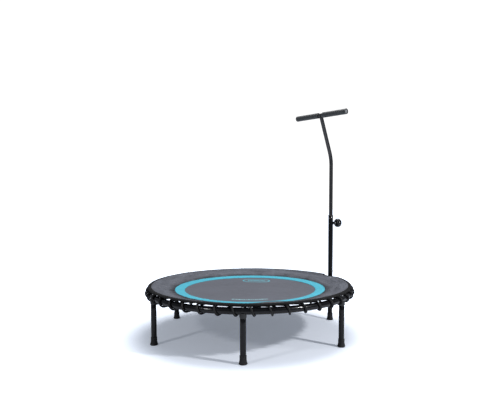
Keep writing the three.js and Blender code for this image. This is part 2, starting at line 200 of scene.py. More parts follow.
def path_frames(path, closed=False):
    """Two unit vectors across the path at each of its points, without needless twist."""
    path = np.asarray(path, float)
    if closed:
        tangents = np.roll(path, -1, 0) - np.roll(path, 1, 0)
    else:
        tangents = np.gradient(path, axis=0)
    tangents /= np.linalg.norm(tangents, axis=1)[:, None]
    across = np.zeros_like(path)
    first = np.cross(tangents[0], (0.0, 0.0, 1.0))
    if np.linalg.norm(first) < 0.1:
        first = np.array(ALONG)
    for i, t in enumerate(tangents):
        before = across[i - 1] if i else first
        side = before - t * (before @ t)
        across[i] = side / np.linalg.norm(side)
    if closed:
        t = tangents[0]
        carried = across[-1] - t * (across[-1] @ t)
        twist = math.atan2(np.cross(across[0], carried) @ t, across[0] @ carried)
        turn = -twist * np.arange(len(path)) / len(path)
        other = np.cross(tangents, across)
        across = across * np.cos(turn)[:, None] + other * np.sin(turn)[:, None]
    return across, np.cross(tangents, across)


def tube(name, path, radii, sides=28, wall=None, closed=False):
    """A round tube along a path. With a wall it is hollow and open at its ends, or else it is solid."""
    path = np.asarray(path, float)
    count = len(path)
    radii = np.broadcast_to(np.asarray(radii, float), (count,))
    across, other = path_frames(path, closed)
    angles = 2 * np.pi * np.arange(sides) / sides
    round_it = across[:, None] * np.cos(angles)[:, None] + other[:, None] * np.sin(angles)[:, None]

    def skin(r):
        return path[:, None] + r[:, None, None] * round_it

    steps = np.linalg.norm(np.diff(path, axis=0), axis=1)
    run = np.concatenate([[0], np.cumsum(steps)])
    points = skin(radii).reshape(-1, 3)
    uvs = np.stack([np.repeat(run, sides), np.tile(np.arange(sides) / sides, count)], 1)
    if closed:
        return mesh_piece(name, points, grid_faces(count, sides, True), uvs)
    if wall:
        points = np.concatenate([skin(radii), skin(radii - wall)[::-1]]).reshape(-1, 3)
        uvs = np.concatenate([uvs, uvs[::-1]])
        return mesh_piece(name, points, grid_faces(2 * count, sides, True), uvs)
    faces = grid_faces(count, sides)
    faces += [list(range(sides))[::-1], list(range((count - 1) * sides, count * sides))]
    return mesh_piece(name, points, faces, uvs)


def end_softened(radius, count, amount=0.5 * MM):
    """Radii along a tube that are slightly smaller at its two ends, so that its rims look rounded."""
    radii = np.full(count, radius)
    radii[[0, -1]] -= amount
    return radii


def line(start, end, steps=6, edge=0.6 * MM):
    """Points from start to end, with a short first and last step."""
    start, end = Vector(start), Vector(end)
    length = (end - start).length
    shares = [0, edge / length, *np.linspace(0, 1, steps + 1)[1:-1], 1 - edge / length, 1]
    return [start.lerp(end, s) for s in shares]


def shell(name, rows, columns, top, thickness):
    """A closed thin ring of cloth. top(s, angle) gives (radius, height) of its upper side, s running
    from 0 at the inner edge to 1 at the outer one."""
    upper = []
    for s in [i / (rows - 1) for i in range(rows)]:
        for angle in [math.tau * k / columns for k in range(columns)]:
            radius, height = top(s, angle)
            upper.append((*polar(radius, angle), height))
    upper = np.array(upper).reshape(rows, columns, 3)
    under = upper.copy()
    under[..., 2] -= thickness
    points = np.concatenate([upper, under[::-1]]).reshape(-1, 3)
    return mesh_piece(name, points, grid_faces(2 * rows, columns, True))


def polar(radius, angle):
    return radius * math.cos(angle), radius * math.sin(angle)


def crown(radius, offset):
    """Height of a round tube's surface over its axis, at this distance to the side."""
    return math.sqrt(radius ** 2 - min(abs(offset), radius) ** 2)


def squared_off(x, power):
    """A sine or cosine whose circle becomes squarer as power falls below 1."""
    return math.copysign(abs(x) ** power, x)


def smooth(x):
    x = min(max(x, 0.0), 1.0)
    return x * x * (3 - 2 * x)


# ---- material helpers ---------------------------------------------------------------------
class Look:
    """A material and the nodes that make it up."""

    def __init__(self, name, color, roughness, **sockets):
        self.material = bpy.data.materials.new(name)
        self.material.use_nodes = True
        self.nodes = self.material.node_tree.nodes
        self.links = self.material.node_tree.links
        self.shader = self.nodes["Principled BSDF"]
        self.shader.inputs["Base Color"].default_value = (*color, 1)
        self.shader.inputs["Roughness"].default_value = roughness
        for socket, value in sockets.items():
            self.shader.inputs[socket.replace("_", " ")].default_value = value
        self.color = color
        coordinates = self.add("ShaderNodeTexCoord")
        self.place = coordinates.outputs["Object"]
        self.uv = coordinates.outputs["UV"]

    def add(self, kind, inputs=(), **settings):
        node = self.nodes.new(kind)
        for key, value in settings.items():
            setattr(node, key, value)
        for key, value in dict(inputs).items():
            if isinstance(value, bpy.types.NodeSocket):
                self.links.new(value, node.inputs[key])
            else:
                node.inputs[key].default_value = value
        return node

    def noise(self, scale, detail=3.0, place=None, rough=0.5):
        return self.add("ShaderNodeTexNoise", {
            "Vector": place or self.place, "Scale": scale, "Detail": detail, "Roughness": rough,
        }).outputs["Fac"]

    def math(self, operation, a, b=0.0):
        node = self.add("ShaderNodeMath", {0: a, 1: b}, operation=operation)
        return node.outputs[0]

    def ramp(self, factor, low_stop, high_stop, low_value, high_value):
        return self.add("ShaderNodeMapRange", {
            "Value": factor, "From Min": low_stop, "From Max": high_stop,
            "To Min": low_value, "To Max": high_value,
        }).outputs["Result"]

    def tint(self, factor, dark, light):
        """Base colour between dark and light times the plain colour."""
        mixed = self.add("ShaderNodeMix", {"Factor": factor}, data_type="RGBA")
        # its two colour inputs and its colour output, whose names its number sockets have too
        mixed.inputs[6].default_value = (*[c * dark for c in self.color], 1)
        mixed.inputs[7].default_value = (*[c * light for c in self.color], 1)
        self.links.new(mixed.outputs[2], self.shader.inputs["Base Color"])

    def rough(self, factor, least, most):
        self.links.new(self.ramp(factor, 0, 1, least, most), self.shader.inputs["Roughness"])

    def bump(self, height, strength, distance, onto=None):
        inputs = {"Height": height, "Strength": strength, "Distance": distance}
        if onto is not None:
            inputs["Normal"] = onto
        node = self.add("ShaderNodeBump", inputs)
        self.links.new(node.outputs["Normal"], self.shader.inputs["Normal"])
        return node.outputs["Normal"]

    def ribs(self, run, each):
        """A sine that repeats each time run has grown by each."""
        return self.math("SINE", self.math("MULTIPLY", run, math.tau / each))

    def wave(self, scale, direction):
        inputs = {"Vector": self.place, "Scale": scale}
        settings = {"wave_type": "BANDS", "wave_profile": "SIN", "bands_direction": direction}
        return self.add("ShaderNodeTexWave", inputs, **settings).outputs["Fac"]


def polar_place(look):
    """Object coordinates as (angle in turns, radius, height)."""
    split = look.add("ShaderNodeSeparateXYZ", {0: look.place})
    x, y, z = split.outputs
    turns = look.math("DIVIDE", look.math("ARCTAN2", y, x), math.tau)
    square = look.math("ADD", look.math("MULTIPLY", x, x), look.math("MULTIPLY", y, y))
    radius = look.math("SQRT", square)
    return turns, radius, z


def woven(look, size, strength, distance, onto=None):
    """A plain weave with threads size apart, on a face that lies nearly flat."""
    scale = math.tau / size / 20
    warp = look.wave(scale, "X")
    weft = look.wave(scale, "Y")
    return look.bump(look.math("MAXIMUM", warp, weft), strength, distance, onto), warp, weft


def black_paint():
    look = Look("black_powder_coat", (0.004, 0.004, 0.0048), 0.2, IOR=1.24, Coat_Weight=0.22,
                Coat_Roughness=0.06)
    cloud = look.noise(14, 4)
    look.tint(cloud, 0.8, 1.35)
    look.rough(look.noise(35, 5), 0.15, 0.28)
    look.bump(look.noise(900, 2), 0.05, 0.2 * MM)
    return look.material


def gloss_paint():
    """The inner tube and handlebar are smoother and shinier than the frame."""
    look = Look("gloss_black_paint", (0.012, 0.012, 0.013), 0.24, IOR=1.5, Coat_Weight=0.6,
                Coat_Roughness=0.12)
    look.tint(look.noise(14, 4), 0.85, 1.25)
    look.rough(look.noise(35, 5), 0.2, 0.32)
    look.bump(look.noise(500, 2), 0.03, 0.1 * MM)
    return look.material


def zinc_steel():
    look = Look("zinc_plate", (0.56, 0.57, 0.58), 0.3, Metallic=1.0)
    look.tint(look.noise(260, 4), 0.82, 1.1)
    look.rough(look.noise(120, 4), 0.22, 0.42)
    look.bump(look.noise(1500, 3), 0.1, 0.1 * MM)
    return look.material


def black_rubber():
    look = Look("black_rubber", (0.009, 0.009, 0.01), 0.62, IOR=1.4)
    look.tint(look.noise(60, 5), 0.75, 1.5)
    look.rough(look.noise(90, 4), 0.5, 0.74)
    look.bump(look.noise(1100, 4, rough=0.65), 0.3, 0.25 * MM)
    return look.material


def plastic(name, color, least, most, grain):
    look = Look(name, color, least, IOR=1.46)
    look.tint(look.noise(50, 4), 0.85, 1.2)
    look.rough(look.noise(140, 4), least, most)
    look.bump(look.noise(1300, 3), grain, 0.15 * MM)
    return look.material


def grip_foam():
    look = Look("grip_foam", (0.038, 0.041, 0.043), 0.5, IOR=1.5, Sheen_Weight=0.45,
                Sheen_Roughness=0.4)
    pores = look.add("ShaderNodeTexVoronoi", {"Vector": look.place, "Scale": 750.0}).outputs["Distance"]
    cloud = look.noise(55, 5)
    look.tint(cloud, 0.7, 1.4)
    soft = look.bump(look.noise(120, 3), 0.25, 1.0 * MM)
    look.bump(pores, 0.3, 0.25 * MM, soft)
    return look.material


def mesh_cloth():
    """The mat: flat polypropylene tapes, plainly woven, with a slightly shiny face."""
    look = Look("mat_mesh", (0.1, 0.105, 0.13), 0.6, IOR=1.4, Sheen_Weight=0.1,
                Sheen_Roughness=0.5)
    broad = look.noise(5, 3)
    _, warp, weft = woven(look, 3.2 * MM, 0.45, 0.4 * MM)
    threads = look.math("MULTIPLY", look.math("ADD", warp, weft), 0.5)
    fine = look.math("ADD", look.math("MULTIPLY", threads, 0.55), look.math("MULTIPLY", broad, 0.45))
    look.tint(fine, 0.55, 1.45)
    look.rough(look.noise(30, 3), 0.45, 0.65)
    return look.material


def webbing():
    look = Look("black_webbing", (0.009, 0.009, 0.01), 0.75, IOR=1.35, Sheen_Weight=0.03,
                Sheen_Roughness=0.5)
    turns = polar_place(look)[0]
    look.tint(look.noise(300, 3), 0.7, 1.5)
    look.bump(look.ribs(turns, 1 / 1100), 0.4, 0.5 * MM)
    return look.material


def teal_cloth():
    """Woven band with its ribs across it and a row of stitches near each edge."""
    look = Look("teal_band", (0.06, 0.47, 0.61), 0.65, IOR=1.4, Sheen_Weight=0.08, Sheen_Roughness=0.5)
    turns, radius, _ = polar_place(look)
    weave = look.math("MAXIMUM", look.ribs(turns, 1 / 1300), look.ribs(radius, 2.6 * MM))
    cloud = look.noise(18, 4)
    shade = look.math("ADD", look.math("MULTIPLY", weave, 0.12), cloud)
    look.tint(shade, 0.82, 1.12)
    look.bump(weave, 0.35, 0.3 * MM)
    return look.material


def skirt_cloth():
    """Coated polyester: a fine weave under a soft shine, uneven where it has been folded, with painted
    shade in its folds and next to the teal border.
    """
    look = Look("cover_cloth", (0.118, 0.124, 0.146), 0.46, IOR=1.25, Sheen_Weight=0.04,
                Sheen_Roughness=0.4)
    turns, radius, height = polar_place(look)
    stretched = look.add("ShaderNodeCombineXYZ", {
        0: look.math("MULTIPLY", turns, 6.5), 1: look.math("MULTIPLY", radius, 6.0), 2: height,
    }).outputs[0]
    # painted shade: dark streaks in the folds that run round the ring
    fold_shade = look.ramp(look.noise(3.2, 5, stretched, 0.6), 0.3, 0.7, 0.2, 0.9)
    # painted shade: the cloth is darker next to the teal border, where it lies in shade, and is painted
    # lighter further out
    outward = look.ramp(radius, BORDER_RADIUS, BORDER_RADIUS + 45 * MM, -0.55, 0.3)
    painted_shade = look.add("ShaderNodeMath", {0: fold_shade, 1: outward}, operation="ADD", use_clamp=True)
    look.tint(painted_shade.outputs[0], 0.3, 1.25)
    look.rough(look.noise(24, 4), 0.36, 0.6)
    broad = look.bump(look.noise(4.2, 5, stretched, 0.62), 0.85, 32 * MM)
    crumpled = look.bump(look.noise(30, 5, rough=0.62), 0.45, 5 * MM, broad)
    woven(look, 1.5 * MM, 0.25, 0.2 * MM, crumpled)
    return look.material


def hem_cloth():
    look = Look("hem_tape", (0.0035, 0.0035, 0.004), 0.85, IOR=1.3, Sheen_Weight=0.03,
                Sheen_Roughness=0.45)
    turns = polar_place(look)[0]
    look.tint(look.noise(120, 4), 0.6, 1.7)
    look.bump(look.ribs(turns, 1 / 900), 0.45, 0.8 * MM)
    return look.material


def cord_cloth():
    """Braided sheath. UV x runs along the cord in metres and y once round it."""
    look = Look("cord_sheath", (0.0045, 0.0045, 0.005), 0.6, IOR=1.38, Sheen_Weight=0.03,
                Sheen_Roughness=0.4)
    split = look.add("ShaderNodeSeparateXYZ", {0: look.uv})
    run = look.math("MULTIPLY", split.outputs[0], math.tau / (7 * MM))
    round_it = look.math("MULTIPLY", split.outputs[1], math.tau * 8)
    one = look.math("SINE", look.math("ADD", run, round_it))
    two = look.math("SINE", look.math("SUBTRACT", run, round_it))
    braid = look.math("MAXIMUM", one, two)
    look.tint(look.ramp(braid, -1, 1, 0, 1), 0.5, 1.7)
    look.bump(braid, 0.6, 0.5 * MM)
    return look.material


def print_ink(name, color):
    look = Look(name, color, 0.55)
    look.tint(look.noise(400, 4), 0.75, 1.1)
    look.bump(look.noise(900, 3), 0.2, 0.1 * MM)
    return look.material


paint = black_paint()
shiny_paint = gloss_paint()
zinc = zinc_steel()
rubber = black_rubber()
matt_black = plastic("matt_black_plastic", (0.013, 0.013, 0.014), 0.38, 0.52, 0.25)
shiny_black = plastic("shiny_black_plastic", (0.008, 0.008, 0.009), 0.14, 0.24, 0.06)
mid_grey = plastic("grey_plastic", (0.16, 0.165, 0.175), 0.4, 0.55, 0.2)
foam = grip_foam()
mat_cloth = mesh_cloth()
black_webbing = webbing()
teal = teal_cloth()
cover_cloth = skirt_cloth()
hem_tape = hem_cloth()
cord_sheath = cord_cloth()
pale_ink = print_ink("pale_ink", (0.3, 0.55, 0.6))
teal_ink = print_ink("teal_ink", (0.14, 0.52, 0.62))
teal_thread = print_ink("teal_thread", (0.07, 0.42, 0.54))
grey_thread = print_ink("grey_thread", (0.03, 0.031, 0.035))


def dress(piece, material, nodes):
    piece.data.materials.append(material)
    if nodes:
        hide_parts(*nodes)


def finish_piece(piece, material, slot, body, *nodes):
    """Gives a rigid piece its material, and lets it ride on its body. Its slot is not used."""
    dress(piece, material, nodes)
    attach(piece, body)
    return piece


def stretch_with_bed(piece, material, slot, *nodes):
    """A piece of cloth or cord that joins the frame to the bed, which it stretches between in the real
    thing: it gets its material, and its place is baked into its mesh.
    """
    dress(piece, material, nodes)
    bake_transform(piece)
    return piece


# ---- ring and legs ------------------------------------------------------------------------
def ring_arc(number):
    """One arc of the frame ring. Its narrowed end is inside the next arc."""
    half = math.pi / len(LEGS)
    gap = 0.35 * MM / RING_RADIUS
    edge = 1.2 * MM / RING_RADIUS
    shares = [-half + gap, -half + gap + edge, *np.linspace(-half, half, 49)[1:-1],
              half - gap - edge, half - gap]
    path = [(*polar(RING_RADIUS, leg_angles[number] + a), RING_HEIGHT) for a in shares]
    return tube(f"ring_arc_{number}", path, end_softened(FRAME_TUBE, len(path), 0.6 * MM), 32, WALL)


def leg(number):
    place = leg_places[number]
    bottom, top = low(f"leg_{number}").z, high(f"leg_{number}").z
    path = line((place.x, place.y, bottom), (place.x, place.y, top), 8)
    return tube(f"leg_tube_{number}", path, end_softened(LEG_TUBE, len(path)), 36, WALL)


def saddle(number):
    """The plug of a leg, whose top follows the frame tube."""
    place = leg_places[number]
    node = f"leg_saddle_{number}"
    leg_top = high(f"leg_{number}").z
    shoulder = (high(node) - low(node)).x / 2
    bore, plug = 4.3 * MM, LEG_TUBE - WALL - 0.3 * MM
    outline = rounded([
        (bore, low(node).z), (plug, low(node).z), (plug, leg_top + 0.3 * MM),
        (LEG_TUBE, leg_top + 0.3 * MM), (shoulder, leg_top + 6 * MM), (shoulder, high(node).z),
    ], 2 * MM)
    seat = FRAME_TUBE + 0.4 * MM
    inward = np.linspace(shoulder, bore, 8)
    profile = outline[:-1] + [(r, high(node).z) for r in inward]
    first_seat = len(outline) - 1
    sides = 48
    piece = turned(f"saddle_{number}", profile, Matrix.Identity(4), sides, True)
    for index, vertex in enumerate(piece.data.vertices):
        if index // sides >= first_seat or vertex.co.z > RING_HEIGHT - seat:
            vertex.co.z = min(vertex.co.z, RING_HEIGHT - crown(seat, vertex.co.x))
    station = Matrix.Translation((place.x, place.y, 0)) @ Matrix.Rotation(leg_angles[number], 4, "Z")
    piece.data.transform(station)
    return piece


def dome_bolt(number):
    """A dome-headed bolt with a round recess for its key."""
    node = f"leg_bolt_{number}"
    bottom, top = low(node).z, high(node).z
    head, shank, widest, recess = top - 5 * MM, 4 * MM, 7.5 * MM, 2.4 * MM
    profile = [(0, bottom), (shank - 0.8 * MM, bottom), (shank, bottom + 1 * MM), (shank, head),
               (widest - 0.2 * MM, head), (widest, head + 0.8 * MM)]
    profile += [(widest * math.cos(a), head + 1 * MM + 4 * MM * math.sin(a))
                for a in np.linspace(0.15, 1.1, 6)]
    profile += [(recess, top - 0.4 * MM), (recess, top - 2.6 * MM), (0, top - 2.6 * MM)]
    place = leg_places[number]
    return turned(f"dome_bolt_{number}", profile, Matrix.Translation((place.x, place.y, 0)), 30)


def boot(number):
    """Rubber foot: a wide base with a bead, a waist, and a collar round the leg."""
    place = leg_places[number]
    node = f"foot_{number}"
    base = (high(node) - low(node)).x / 2
    top = high(node).z
    collar, bore, floor = 16 * MM, LEG_TUBE + 0.15 * MM, 6 * MM
    bevel, bead_top, waist, groove = 2.5 * MM, 7.5 * MM, 18 * MM, 34.8 * MM
    groove_floor = collar - 0.8 * MM
    profile = rounded([
        (0, 0), (base - bevel, 0), (base, bevel), (base, bead_top - 1.5 * MM),
        (base - 1.3 * MM, bead_top), (base - 1.6 * MM, bead_top + 2 * MM),
        (collar + 0.6 * MM, waist), (collar, waist + 3 * MM), (collar, groove - 1.3 * MM),
        (groove_floor, groove - 0.5 * MM), (groove_floor, groove + 0.5 * MM),
        (collar, groove + 1.3 * MM), (collar, top), (bore, top), (bore, floor), (0, floor),
    ], 0.9 * MM)
    return turned(f"boot_{number}", profile, Matrix.Translation((place.x, place.y, 0)), 48)


for i in LEGS:
    finish_piece(ring_arc(i), paint, "black_paint", "frame", f"frame_arc_{i}")
    finish_piece(leg(i), paint, "black_paint", "frame", f"leg_{i}")
    finish_piece(saddle(i), matt_black, "black_plastic", "frame", f"leg_saddle_{i}")
    finish_piece(dome_bolt(i), zinc, "zinc_steel", "frame", f"leg_bolt_{i}")
    finish_piece(boot(i), rubber, "black_rubber", "frame", f"foot_{i}")

# ---- mat ----------------------------------------------------------------------------------
MAT_THICKNESS = 1.4 * MM


def jumping_mat():
    """The mat as a closed thin disc, fine enough to dip smoothly."""
    sides, rings = 180, 46
    ripple, ripples_per_metre, seed = 0.5 * MM, 9, 3.3
    radii = [MAT_RADIUS * k / rings for k in range(rings + 1)]
    profile = [(r, MAT_TOP) for r in radii] + [(r, MAT_TOP - MAT_THICKNESS) for r in radii[::-1]]
    piece = turned("mat", profile, Matrix.Identity(4), sides)
    for vertex in piece.data.vertices:
        wave = noise.noise(Vector((*vertex.co.xy * ripples_per_metre, seed)))
        vertex.co.z += ripple * wave * (1 - smooth(vertex.co.xy.length / MAT_RADIUS))
    return piece


def edge_band():
    """The webbing sewn over the mat's edge."""
    inner, outer = MAT_RADIUS + 0.5 * MM, MAT_RADIUS + 14 * MM
    bottom, top = MAT_TOP - 2.4 * MM, MAT_TOP
    profile = [(inner, bottom), (outer, bottom), (outer, top), (inner, top)]
    full = rounded([*profile, profile[0], profile[1]], 0.8 * MM)[1:-1]
    return turned("mat_edge_band", full[:-1], Matrix.Identity(4), 252, True)


def edge_loop(number):
    """A loop of webbing on the mat's edge, with its hole for the cord."""
    angle = leg_angles[1] + math.tau * number / CORD_TURNS
    inner, outer = MAT_RADIUS + 12 * MM, LOOP_RADIUS - 0.3 * MM
    half, thickness = 9 * MM, 2.2 * MM
    hole_radius = 6.3 * MM
    centre = CORD_HOLE_RADIUS
    sides = 28
    outline = []
    hole = []
    for k in range(sides):
        a = math.tau * k / sides
        c, s = math.cos(a), math.sin(a)
        reach_out = outer - centre if c > 0 else centre - inner
        outline.append((centre + reach_out * squared_off(c, 0.5), half * squared_off(s, 0.5)))
        hole.append((centre + hole_radius * c, hole_radius * s))
    high_z, low_z = MAT_TOP - 0.1 * MM, MAT_TOP - 0.1 * MM - thickness
    points = [(x, y, low_z) for x, y in outline] + [(x, y, high_z) for x, y in outline]
    points += [(x, y, high_z) for x, y in hole] + [(x, y, low_z) for x, y in hole]
    turn = Matrix.Rotation(angle, 4, "Z")
    return [turn @ Vector(p) for p in points], grid_faces(4, sides, True)


def edge_loops():
    points, faces = [], []
    for number in range(CORD_TURNS):
        more, corners = edge_loop(number)
        faces += [tuple(v + len(points) for v in face) for face in corners]
        points += more
    return mesh_piece("mat_edge_loops", points, faces)


mat = stretch_with_bed(jumping_mat(), mat_cloth, "mesh_cloth", "jumping_mat")
band = stretch_with_bed(edge_band(), black_webbing, "black_webbing", "mat_edge_webbing")
stretch_with_bed(edge_loops(), black_webbing, "black_webbing")

# ---- cover --------------------------------------------------------------------------------
POST_ANGLE = leg_angles[HANDLE_LEG]
POST_CLEARANCE = 28 * MM  # how far the cover's edge is drawn in to pass the post
POST_WINDOW = 60 * MM  # and over what length of the edge
COLUMNS = 720
BORDER_START = MAT_TOP + 1.5 * MM
BORDER_RISE = 4.5 * MM
BORDER_PUFF = 0.8 * MM
PULL_ANGLE = math.radians(287)  # at the front right the border is pulled up a little more
PULL_REACH = math.radians(17)
PULL_HEIGHT = 6 * MM
SWELL = 3.2 * MM
CREASE = 4.6 * MM
ROUND_FOLD = 6.5 * MM
SLACK_DIP = 2.5 * MM
PLEAT = 5.72 * MM
FINE_FOLD = 1.1 * MM


def drawn_in(angle):
    """How far the cover's edge stands in from its circle, which it does only at the post."""
    away = (angle - POST_ANGLE + math.pi) % math.tau - math.pi
    near = abs(away) * RING_RADIUS
    return POST_CLEARANCE * (1 - smooth((near - POST_TUBE) / POST_WINDOW))


def fabric_noise(angle, radius, scale, seed):
    return noise.noise(Vector((*polar(radius * scale, angle), seed)))


def border_top(s, angle):
    inner = BORDER_RADIUS - BORDER_WIDTH
    height = BORDER_START + BORDER_RISE * s
    puff = BORDER_PUFF * (1 - (2 * s - 1) ** 2)
    ripple = BORDER_PUFF * fabric_noise(angle, 0.4, 24, 5.1)
    pull = PULL_HEIGHT * smooth(1 - abs(angle - PULL_ANGLE) / PULL_REACH)
    return inner + BORDER_WIDTH * s, height + puff + (ripple + pull * s) * s


def skirt_top(s, angle):
    inner = BORDER_RADIUS + 0.2 * MM
    outer = SKIRT_RADIUS - drawn_in(angle)
    radius = inner + (outer - inner) * s
    start = border_top(1, angle)[1] - 0.2 * MM
    end = SKIRT_TOP
    middle_part = math.sin(math.pi * s)
    pleat_angle = angle + 0.05 * fabric_noise(angle, 0.5, 7, 1.7)
    pleats = math.sin(pleat_angle * 63) * 0.6 + math.sin(pleat_angle * 101 + 1.3) * 0.4
    pleats *= 0.55 + 0.9 * fabric_noise(angle, 0.5, 9, 8.2)
    creases = abs(fabric_noise(angle, radius, 13, 2.4)) - 0.25
    swell = fabric_noise(angle, radius, 6, 6.6)
    fine = fabric_noise(angle, radius, 34, 9.9)
    # near the border the cloth lies slack, in folds that run round the ring
    slack = smooth(s / 0.12) * smooth((0.62 - s) / 0.4)
    round_folds = fabric_noise(angle, 0.5 + radius * 2.5, 9, 3.8)
    height = start + (end - start) * (0.7 * s + 0.3 * s * s)
    height += middle_part * (SWELL * swell + CREASE * creases + FINE_FOLD * fine)
    height += slack * (ROUND_FOLD * round_folds - SLACK_DIP)
    height += PLEAT * pleats * s * s * (1.15 - s)
    return radius, height


def hem_ring():
    """The hem: a folded tape with elastic in it, gathered a little, over the crown of the ring."""
    across, columns, gathers = 18, 1080, 190
    width = HEM_RADIUS - SKIRT_RADIUS
    half_thickness, droop = 1.5 * MM, 5.2 * MM
    points = []
    for k in range(columns):
        angle = math.tau * k / columns
        shift = drawn_in(angle)
        gather = math.sin(angle * gathers + 2.5 * fabric_noise(angle, 0.55, 8, 4.4))
        loose = fabric_noise(angle, 0.55, 16, 7.3)
        centre_radius = SKIRT_RADIUS + width / 2 - shift + 1.2 * MM * loose
        centre_height = HEM_TOP - 2.2 * MM + 0.9 * MM * loose + 0.35 * MM * gather
        for j in range(across):
            a = math.tau * j / across
            x = (width / 2 + 0.4 * MM * gather) * squared_off(math.cos(a), 0.7)
            z = half_thickness * squared_off(math.sin(a), 0.8)
            z -= droop * (max(x, 0) / (width / 2)) ** 2
            points.append((*polar(centre_radius + x, angle), centre_height + z))
    return mesh_piece("cover_hem_tape", points, grid_faces(columns, across, True))


def stitches(name, top, shares, length, spacing, radius, lift):
    """Rows of short raised threads along a ring of cloth, joined into one piece."""
    points, faces = [], []
    for share in shares:
        ring_radius = top(share, 0)[0]
        count = int(math.tau * ring_radius / spacing)
        half = length / 2 / ring_radius
        for k in range(count):
            angle = math.tau * k / count
            for j, end in enumerate((-1, -0.5, 0.5, 1)):
                a = angle + half * end
                r, z = top(share, a)
                thick = radius * (0.35 if j in (0, 3) else 1)
                raise_by = lift if j in (1, 2) else 0
                points += [(*polar(r - thick, a), z + raise_by), (*polar(r, a), z + raise_by + thick),
                           (*polar(r + thick, a), z + raise_by), (*polar(r, a), z + raise_by - thick)]
            start = len(points) - 16
            faces += grid_faces(4, 4, start=start)
            faces += [(start, start + 1, start + 2, start + 3),
                      (start + 15, start + 14, start + 13, start + 12)]
    return mesh_piece(name, points, faces)


border = shell("cover_border_band", 11, COLUMNS, border_top, 1.2 * MM)
skirt = shell("cover_cloth", 31, COLUMNS, skirt_top, 0.9 * MM)
border_thread = stitches("border_stitches", border_top, (0.07, 0.93), 3.4 * MM, 5.2 * MM, 0.35 * MM,
                         0.25 * MM)
skirt_thread = stitches("cover_stitches", skirt_top, (0.035,), 3.6 * MM, 5.4 * MM, 0.35 * MM, 0.2 * MM)
stretch_with_bed(border, teal, "teal_cloth", "cover_border")
stretch_with_bed(skirt, cover_cloth, "skirt_cloth", "cover_skirt")
stretch_with_bed(border_thread, teal_thread, "teal_cloth")
stretch_with_bed(skirt_thread, grey_thread, "skirt_cloth")
hem = finish_piece(hem_ring(), hem_tape, "hem_cloth", "frame", "cover_hem")


# ---- prints on the mat --------------------------------------------------------------------


def flat_mark(points, faces, outline):
    """Adds a thin closed plate with this outline of (x, y), lying on the mat."""
    start, count = len(points), len(outline)
    for z in (MAT_TOP + 0.05 * MM, MAT_TOP + 0.35 * MM):
        points += [(x, y, z) for x, y in outline]
    lower, upper = list(range(start, start + count)), list(range(start + count, start + 2 * count))
    faces.append(upper)
    faces.append(lower[::-1])
    faces += [(lower[k], lower[(k + 1) % count], upper[(k + 1) % count], upper[k]) for k in range(count)]


def arc_dash(middle_angle, half_length, radius, half_width):
    half = half_length / radius
    steps = np.linspace(-half, half, 5)
    outer = [polar(radius + half_width, middle_angle + a) for a in steps]
    inner = [polar(radius - half_width, middle_angle + a) for a in steps[::-1]]
    return outer + inner


FRONT = leg_angles[1] + math.radians(3.4)  # the side that faces the viewer


def front_marks():
    """A plain row of dashes along the front of the mat, in place of the printed line."""
    points, faces = [], []
    dashes = (9, 4, 6, 11, 5, 8, 4, 10, 6, 5, 9, 4, 7, 11, 5, 6)
    radius = BORDER_RADIUS - BORDER_WIDTH - 58 * MM
    gap = 4.6 * MM
    run = -(sum(dashes) * MM + gap * len(dashes)) / 2
    for length in dashes:
        half = length * MM / 2
        run += half
        flat_mark(points, faces, arc_dash(FRONT + run / radius, half, radius, 9 * MM))
        run += half + gap
    return mesh_piece("front_dashes", points, faces)


def rear_marks():
    """A plain pill-shaped outline with bars in it, near the rear of the mat."""
    points, faces = [], []
    radius, half_length, half_width, line_width = 252 * MM, 83 * MM, 48 * MM, 8 * MM
    rear = FRONT + math.pi - math.radians(8.5)
    along = Vector((-math.sin(rear), math.cos(rear)))
    outward = Vector((math.cos(rear), math.sin(rear)))
    centre = outward * radius
    straight = half_length - half_width
    corners = 40
    edge = []
    for k in range(corners):
        a = math.tau * k / corners
        c, s = math.cos(a), math.sin(a)
        corner_centre = centre + along * math.copysign(straight, c)
        spoke = along * c + outward * s
        edge.append([corner_centre + spoke * r for r in (half_width, half_width - line_width)])
    for k in range(corners):
        (a, b), (c, d) = edge[k], edge[(k + 1) % corners]
        flat_mark(points, faces, [tuple(a), tuple(c), tuple(d), tuple(b)])
    bar_spacing, bar_half_height = 9.5 * MM, 15 * MM
    for k in range(-5, 6):
        half = (3.4 if k % 2 else 2.2) * MM
        bar_centre = centre + along * (k * bar_spacing)
        box = [bar_centre + along * (half * x) + outward * (bar_half_height * y)
               for x, y in ((-1, -1), (1, -1), (1, 1), (-1, 1))]
        flat_mark(points, faces, [tuple(p) for p in box])
    return mesh_piece("rear_bars", points, faces)


stretch_with_bed(front_marks(), pale_ink, "mesh_cloth")
stretch_with_bed(rear_marks(), teal_ink, "mesh_cloth")

# ---- bungee cord --------------------------------------------------------------------------


def catmull(points, steps):
    """A smooth closed curve through points."""
    p = np.asarray(points, float)
    before, after, later = np.roll(p, 1, 0), np.roll(p, -1, 0), np.roll(p, -2, 0)
    out = []
    for k in range(steps):
        t = k / steps
        out.append(0.5 * (2 * p + (after - before) * t + (2 * before - 5 * p + 4 * after - later) * t * t
                          + (3 * p - before - 3 * after + later) * t ** 3))
    return np.stack(out, 1).reshape(-1, 3)


